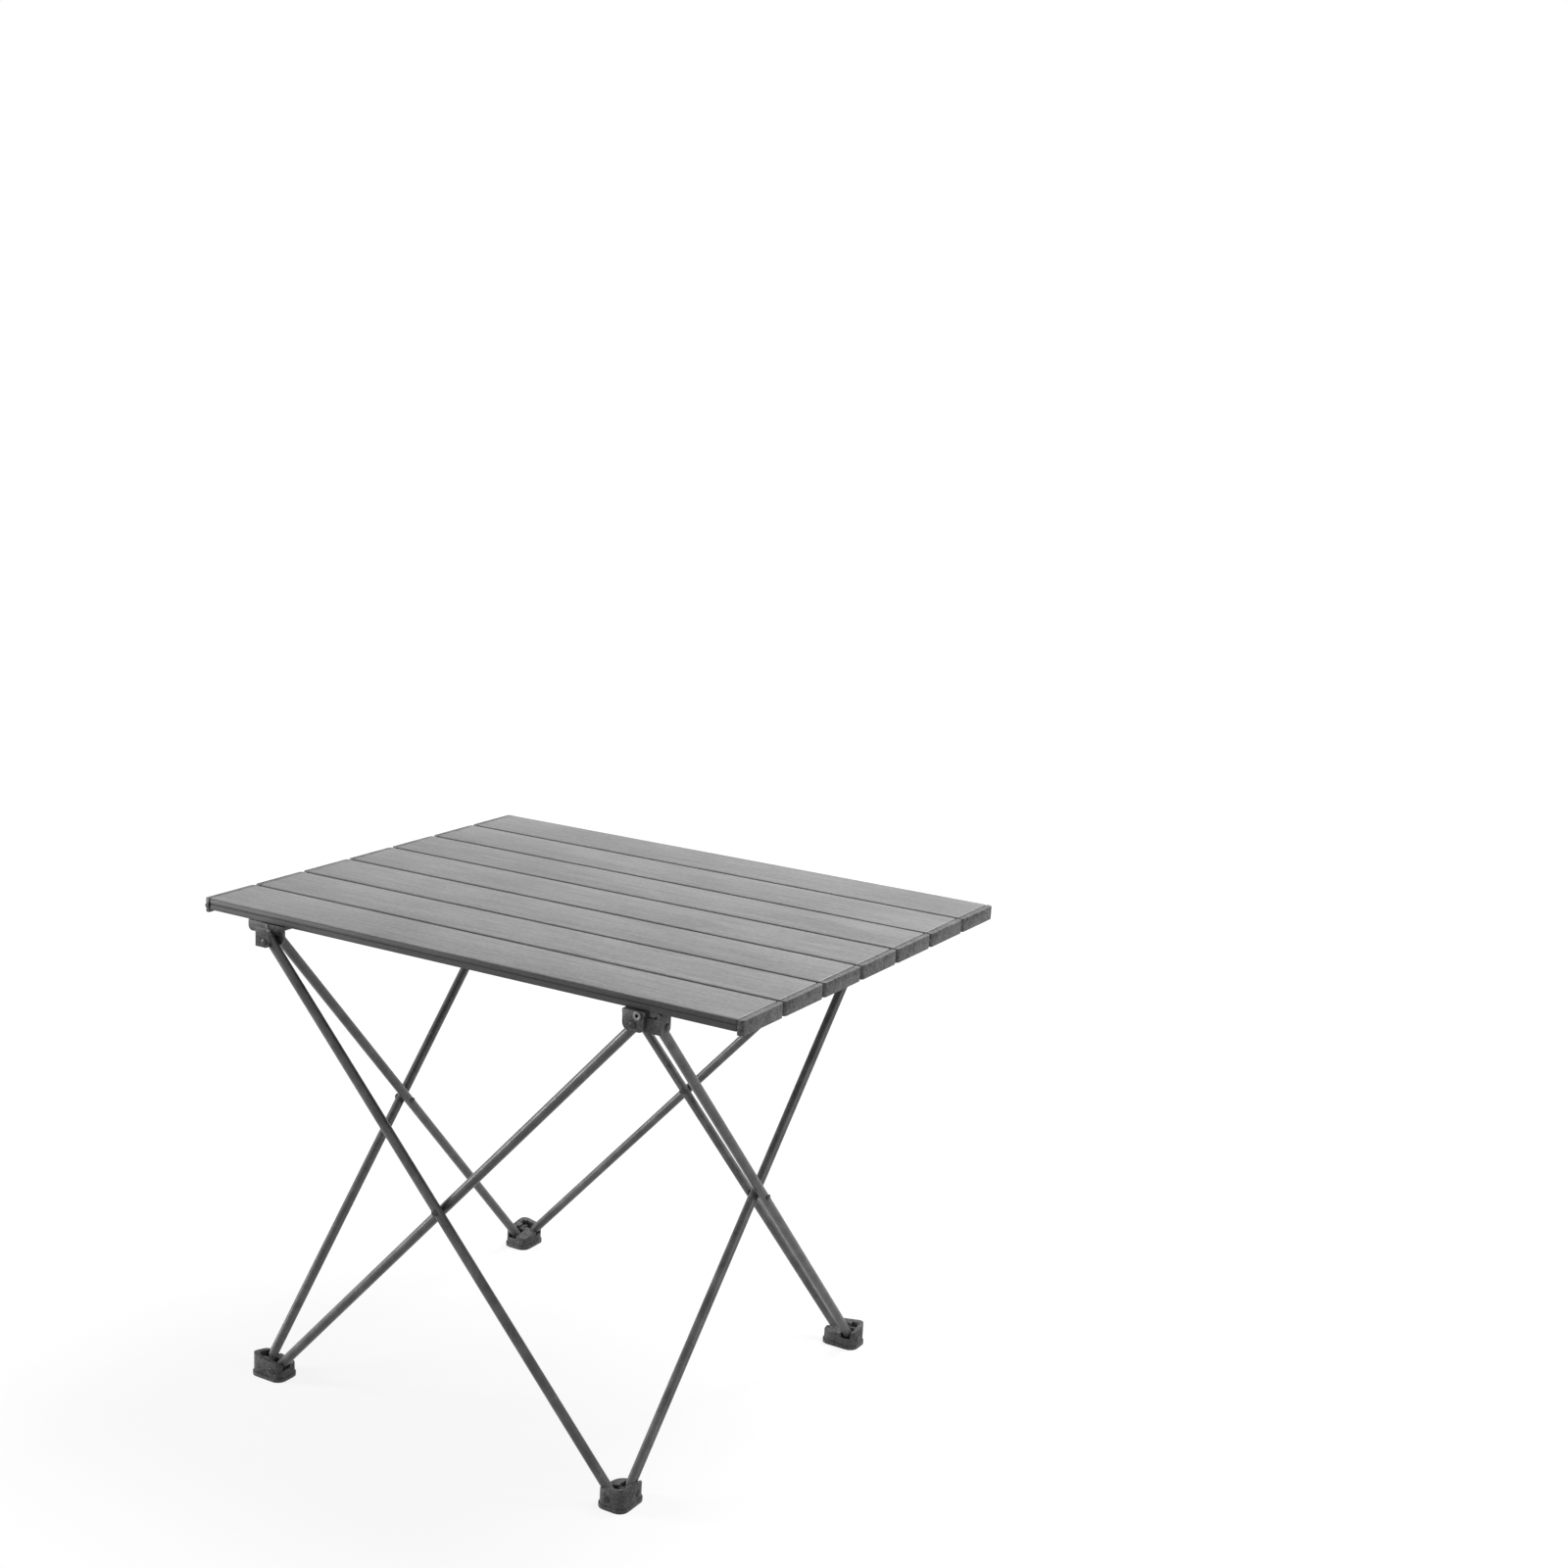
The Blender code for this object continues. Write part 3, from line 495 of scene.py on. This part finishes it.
def grooved(points, half_width, middle):
    """Press a shallow V groove into both long sides of a slat's outline."""
    result = []
    for index, (y, z) in enumerate(points):
        result.append((y, z))
        next_y, next_z = points[(index + 1) % len(points)]
        on_side = abs(abs(y) - half_width) < SAME_PLACE and abs(abs(next_y) - half_width) < SAME_PLACE
        if on_side and abs(next_z - z) > GROOVE_MIN_SIDE:
            up = 1 if next_z > z else -1
            side = 1 if y > 0 else -1
            result.append((side * half_width, middle - up * GROOVE_HALF_HEIGHT))
            result.append((side * (half_width - GROOVE_DEPTH), middle))
            result.append((side * half_width, middle + up * GROOVE_HALF_HEIGHT))
    return result


def ring(bm, x, middle_y, points, inset, half_width, middle_z, half_height):
    """One ring of a slat's outline, narrowed by the inset on both long sides and a little in height."""
    across = (half_width - inset) / half_width
    up = (half_height - inset * SLAT_END_DROP) / half_height
    return [bm.verts.new((x, middle_y + y * across, middle_z + (z - middle_z) * up)) for y, z in points]


def bridge(bm, first, second):
    count = len(first)
    for index in range(count):
        after = (index + 1) % count
        bm.faces.new((first[index], first[after], second[after], second[index]))


def make_slat(number):
    """Hollow slat with crisp top edges, a groove in each long side and corners rounded seen from above."""
    node = "slat_%d" % number
    low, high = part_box(node)
    half = (high.y - low.y) / 2
    middle_y = (low.y + high.y) / 2
    middle_z = (low.z + high.z) / 2
    half_height = (high.z - low.z) / 2
    outer = grooved(box_profile(half, low.z, high.z, SLAT_EDGE_RADII), half, middle_z)
    inner = grooved(box_profile(half - SLAT_WALL, low.z + SLAT_WALL, high.z - SLAT_WALL, SLAT_INNER_RADII),
                    half - SLAT_WALL, middle_z)
    bm = bmesh.new()
    stations = []
    for step in range(CORNER_STEPS + 1):
        angle = pi / 2 * step / CORNER_STEPS
        stations.append((low.x + SLAT_PLAN_RADIUS * (1 - sin(angle)), SLAT_PLAN_RADIUS * (1 - cos(angle))))
    stations.reverse()
    stations += [(low.x + high.x - x, inset) for x, inset in reversed(stations)]
    outer_rings = [ring(bm, x, middle_y, outer, inset, half, middle_z, half_height) for x, inset in stations]
    inner_rings = [ring(bm, x, middle_y, inner, 0.0, half, middle_z, half_height)
                   for x, inset in (stations[0], stations[-1])]
    for first, second in zip(outer_rings, outer_rings[1:]):
        bridge(bm, first, second)
    bridge(bm, inner_rings[0], inner_rings[1])
    bridge(bm, outer_rings[0], inner_rings[0])
    bridge(bm, outer_rings[-1], inner_rings[1])
    piece = object_from_bmesh(bm, "slat_%d_extrusion" % number, ALUMINIUM, SLAT_SMOOTH_ANGLE)
    stand_for(piece, node, node)


def softened(source, name, material, width):
    """A copy of a solid, given as a node's name or an object, with its hard edges rounded."""
    bm = bmesh.new()
    bm.from_mesh(NODES[source].data if isinstance(source, str) else source.data)
    bmesh.ops.remove_doubles(bm, verts=bm.verts, dist=MERGE_DISTANCE)
    bmesh.ops.dissolve_limit(bm, angle_limit=radians(FLAT_ANGLE), verts=bm.verts, edges=bm.edges)
    mesh = bpy.data.meshes.new(name)
    bm.to_mesh(mesh)
    bm.free()
    mesh.shade_smooth()
    mesh.materials.clear()
    mesh.materials.append(material)
    obj = bpy.data.objects.new(name, mesh)
    COLLECTION.objects.link(obj)
    modifier = obj.modifiers.new("round", "BEVEL")
    modifier.width = width
    modifier.segments = BEVEL_SEGMENTS
    modifier.limit_method = "ANGLE"
    modifier.angle_limit = radians(BEVEL_ANGLE)
    modifier.use_clamp_overlap = True
    modifier.harden_normals = True
    bpy.context.view_layer.update()
    graph = bpy.context.evaluated_depsgraph_get()
    rounded = bpy.data.meshes.new_from_object(obj.evaluated_get(graph))
    obj.modifiers.clear()
    obj.data = rounded
    return obj


def carved(node, name, material, tools):
    """A copy of a node's solid with the tools cut away."""
    mesh = NODES[node].data.copy()
    mesh.name = name
    mesh.materials.clear()
    mesh.materials.append(material)
    body = bpy.data.objects.new(name, mesh)
    COLLECTION.objects.link(body)
    for tool in tools:
        modifier = body.modifiers.new("cut", "BOOLEAN")
        modifier.operation = "DIFFERENCE"
        modifier.solver = "EXACT"
        modifier.object = tool
        bpy.context.view_layer.update()
        graph = bpy.context.evaluated_depsgraph_get()
        mesh = bpy.data.meshes.new_from_object(body.evaluated_get(graph))
        body.modifiers.clear()
        body.data = mesh
        bpy.data.objects.remove(tool, do_unlink=True)
    return body


def circle(bm, radius, height):
    """Points round the local Z axis, or the one point on it."""
    if radius <= 0:
        return [bm.verts.new((0, 0, height))]
    angles = [2 * pi * index / LATHE_SEGMENTS for index in range(LATHE_SEGMENTS)]
    return [bm.verts.new((radius * cos(angle), radius * sin(angle), height)) for angle in angles]


def lathe(outline, place, turn, name, material, closed=False):
    """Piece turned about its local Z from (radius, height) points: from axis to axis, or a closed ring."""
    bm = bmesh.new()
    rings = [circle(bm, radius, height) for radius, height in outline]
    if closed:
        rings.append(rings[0])
    for first, second in zip(rings, rings[1:]):
        for index in range(LATHE_SEGMENTS):
            after = (index + 1) % LATHE_SEGMENTS
            if len(first) == 1:
                bm.faces.new((first[0], second[index], second[after]))
            elif len(second) == 1:
                bm.faces.new((first[index], first[after], second[0]))
            else:
                bm.faces.new((first[index], first[after], second[after], second[index]))
    bmesh.ops.transform(bm, matrix=Matrix.Translation(place) @ turn, verts=bm.verts)
    return object_from_bmesh(bm, name, material, LATHE_SMOOTH_ANGLE)


def make_cap(side, number):
    """End cap with rounded edges."""
    node = "cap_%s_%d" % (side, number)
    piece = softened(node, "cap_%s_%d_moulding" % (side, number), CAP_PLASTIC, CAP_EDGE)
    stand_for(piece, node, "slat_%d" % number)


# Feet, with the two tubes that stand in each
FOOT_TUBES = (("tube_inner_front", "tube_outer_left"), ("tube_inner_right", "tube_outer_front"),
              ("tube_inner_back", "tube_outer_right"), ("tube_inner_left", "tube_outer_back"))
FOOT_SIDE_DROP = 4.5 * MM           # fall of the rim at the two side corners
FOOT_INNER_DROP = 10.0 * MM         # and at the corner under the table
FOOT_FLANGE = 3.2 * MM
FOOT_RIM = 1.6 * MM
POCKET_DEPTH = 6.0 * MM
POCKET_HALF_WIDTH = 3.0 * MM
POCKET_OVERLAP = 1.5 * MM


def block(corners):
    """Closed six-sided block from its four lower and four upper corners, both counter-clockwise."""
    bm = bmesh.new()
    verts = [bm.verts.new(corner) for corner in corners]
    for face in ((3, 2, 1, 0), (4, 5, 6, 7), (0, 1, 5, 4), (1, 2, 6, 5), (2, 3, 7, 6), (3, 0, 4, 7)):
        bm.faces.new([verts[index] for index in face])
    return object_from_bmesh(bm, "block", FOOT_PLASTIC, BLOCK_SMOOTH_ANGLE)


def upright_block(low, high):
    """Block with upright sides between two opposite corners."""
    plan = ((low[0], low[1]), (high[0], low[1]), (high[0], high[1]), (low[0], high[1]))
    return block([(x, y, low[2]) for x, y in plan] + [(x, y, high[2]) for x, y in plan])


def slope_cutter(foot_low, foot_high):
    """Wedge above a foot that leaves its outer corner at full height and lowers its inner corner."""
    middle = (foot_low + foot_high) / 2
    away_x = 1 if middle.x > FRAME_MIDDLE.x else -1
    away_y = 1 if middle.y > FRAME_MIDDLE.y else -1
    half_x = (foot_high.x - foot_low.x) / 2 + FOOT_EDGE
    half_y = (foot_high.y - foot_low.y) / 2 + FOOT_EDGE
    plan = ((-half_x, -half_y), (half_x, -half_y), (half_x, half_y), (-half_x, half_y))
    lower = []
    for x, y in plan:
        outward = (x * away_x / half_x + y * away_y / half_y) / 2
        drop = FOOT_SIDE_DROP - (FOOT_INNER_DROP - FOOT_SIDE_DROP) * outward
        lower.append((middle.x + x, middle.y + y, foot_high.z - drop))
    upper = [(middle.x + x, middle.y + y, foot_high.z + FOOT_INNER_DROP) for x, y in plan]
    return block(lower + upper)


def pocket_cutter(foot_low, foot_high, tube):
    """Block that opens a pocket beside a tube, between the tube's end and the foot's outer wall."""
    tube_low, tube_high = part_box(tube)
    size = tube_high - tube_low
    along = 0 if size.x > size.y else 1
    across = 1 - along
    foot_is_low = (foot_low[along] + foot_high[along]) < (tube_low[along] + tube_high[along])
    plane = (tube_low[across] + tube_high[across]) / 2
    low = [0.0, 0.0, foot_high.z - POCKET_DEPTH]
    high = [0.0, 0.0, foot_high.z + POCKET_DEPTH]
    low[across] = plane - POCKET_HALF_WIDTH
    high[across] = plane + POCKET_HALF_WIDTH
    if foot_is_low:
        low[along] = foot_low[along] + FOOT_FLANGE + FOOT_RIM
        high[along] = tube_low[along] + POCKET_OVERLAP
    else:
        low[along] = tube_high[along] - POCKET_OVERLAP
        high[along] = foot_high[along] - FOOT_FLANGE - FOOT_RIM
    return upright_block(low, high)


def make_foot(index):
    """Foot cup whose rim falls toward the table's middle, with a pocket outside each tube's end."""
    corner = CORNERS[index]
    node = "foot_" + corner
    low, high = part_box(node)
    tools = [slope_cutter(low, high)]
    tools += [pocket_cutter(low, high, tube) for tube in FOOT_TUBES[index]]
    shaped = carved(node, "foot_shape", FOOT_PLASTIC, tools)
    foot = softened(shaped, "foot_%s_moulding" % corner, FOOT_PLASTIC, FOOT_EDGE)
    bpy.data.objects.remove(shaped, do_unlink=True)
    stand_for(foot, node, node)


# Eyelets in the hubs' lugs
EYELET_SHIFT = 4.0 * MM             # outward of the rivet below it
EYELET_RISE = 7.9 * MM
EYELET_BORE = 1.45 * MM
EYELET_RADIUS = 3.35 * MM
EYELET_SINK = 0.9 * MM
EYELET_PROUD = 0.2 * MM
EYELET_RIM = 0.05 * MM              # height of the outer rim above the hub
EYELET_CREST_OUTER = 0.9            # share of the outer radius where the raised ring ends
EYELET_CREST_INNER = 1.25           # multiple of the bore where it starts


def make_eyelet(index):
    """Pressed eyelet round the small hole in a hub's lug."""
    corner = CORNERS[index]
    hub_low, hub_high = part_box("hub_" + corner)
    pin_low, pin_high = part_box("rivet_hub_inner_" + corner)
    size = pin_high - pin_low
    place = (pin_low + pin_high) / 2
    axis = 0 if size.x > size.y else 1
    across = 1 - axis
    outward = 1 if place[axis] > FRAME_MIDDLE[axis] else -1
    place[axis] = hub_high[axis] if outward > 0 else hub_low[axis]
    place[across] += EYELET_SHIFT if place[across] > FRAME_MIDDLE[across] else -EYELET_SHIFT
    place.z += EYELET_RISE
    direction = Vector((0, 0, 0))
    direction[axis] = outward
    outline = [(EYELET_BORE, -EYELET_SINK), (EYELET_RADIUS, -EYELET_SINK), (EYELET_RADIUS, EYELET_RIM),
               (EYELET_RADIUS * EYELET_CREST_OUTER, EYELET_PROUD),
               (EYELET_BORE * EYELET_CREST_INNER, EYELET_PROUD), (EYELET_BORE, 0)]
    turn = direction.to_track_quat("Z", "Y").to_matrix().to_4x4()
    eyelet = lathe(outline, place, turn, "eyelet_" + corner, EYELET_STEEL, closed=True)
    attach(eyelet, HUB_BODIES[index])


def make_mouldings():
    """Hubs, feet, rails and the clip with rounded edges."""
    for index, (corner, body) in enumerate(zip(CORNERS, HUB_BODIES)):
        hub = softened("hub_" + corner, "hub_%s_moulding" % corner, HUB_PLASTIC, HUB_EDGE)
        stand_for(hub, "hub_" + corner, body)
        make_eyelet(index)
        make_foot(index)
    for node, body in (("rail_front", "slat_1"), ("clip_front_left", "slat_1"),
                       ("rail_back", "slat_%d" % SLAT_COUNT)):
        stand_for(softened(node, node + "_moulding", material_of(node), HUB_EDGE), node, body)


RIVET_RADIUS = 1.8 * MM
RIVET_HEAD_RADIUS = 2.9 * MM
RIVET_HEAD_HEIGHT = 0.7 * MM
DOME_STEPS = 5


def rivet_outline(length, two_headed):
    """Half outline of a rivet along its axis, with a domed head at its start or at both ends."""
    outline = [(0, 0)]
    for step in range(1, DOME_STEPS + 1):
        angle = pi / 2 * step / DOME_STEPS
        outline.append((RIVET_HEAD_RADIUS * sin(angle), RIVET_HEAD_HEIGHT * (1 - cos(angle))))
    outline.append((RIVET_RADIUS, RIVET_HEAD_HEIGHT))
    if two_headed:
        outline.append((RIVET_RADIUS, length - RIVET_HEAD_HEIGHT))
        for step in range(DOME_STEPS, 0, -1):
            angle = pi / 2 * step / DOME_STEPS
            outline.append((RIVET_HEAD_RADIUS * sin(angle), length - RIVET_HEAD_HEIGHT * (1 - cos(angle))))
    else:
        outline.append((RIVET_RADIUS, length))
    outline.append((0, length))
    return outline


def make_rivet(node, body, two_headed):
    """Domed rivet in a node's place; the first head is on the frame's outer side."""
    low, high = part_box(node)
    middle = (low + high) / 2
    size = high - low
    axis = 0 if size.x > size.y else 1
    outward = Vector((0, 0, 0))
    outward[axis] = 1 if middle[axis] > FRAME_MIDDLE[axis] else -1
    start = middle + outward * size[axis] / 2
    turn = (-outward).to_track_quat("Z", "Y").to_matrix().to_4x4()
    piece = lathe(rivet_outline(size[axis], two_headed), start, turn, node + "_turned", RIVET_STEEL)
    stand_for(piece, node, body)


def make_rivets():
    """A rivet at each crossing, and two in each hub and foot."""
    for side in SIDES:
        make_rivet("rivet_cross_" + side, "outer_" + side, True)
    for corner, body in zip(CORNERS, HUB_BODIES):
        make_rivet("rivet_hub_outer_" + corner, body, False)
        make_rivet("rivet_hub_inner_" + corner, body, True)
        make_rivet("rivet_foot_outer_" + corner, "foot_" + corner, False)
        make_rivet("rivet_foot_inner_" + corner, "foot_" + corner, False)


# The whole scene

for slat_number in range(1, SLAT_COUNT + 1):
    make_slat(slat_number)
    make_cap("left", slat_number)
    make_cap("right", slat_number)
make_mouldings()
make_rivets()

make_camera()
make_world()
make_floor()
for lamp in LAMPS:
    add_light(*lamp)

bpy.context.scene.view_settings.view_transform = "Standard"
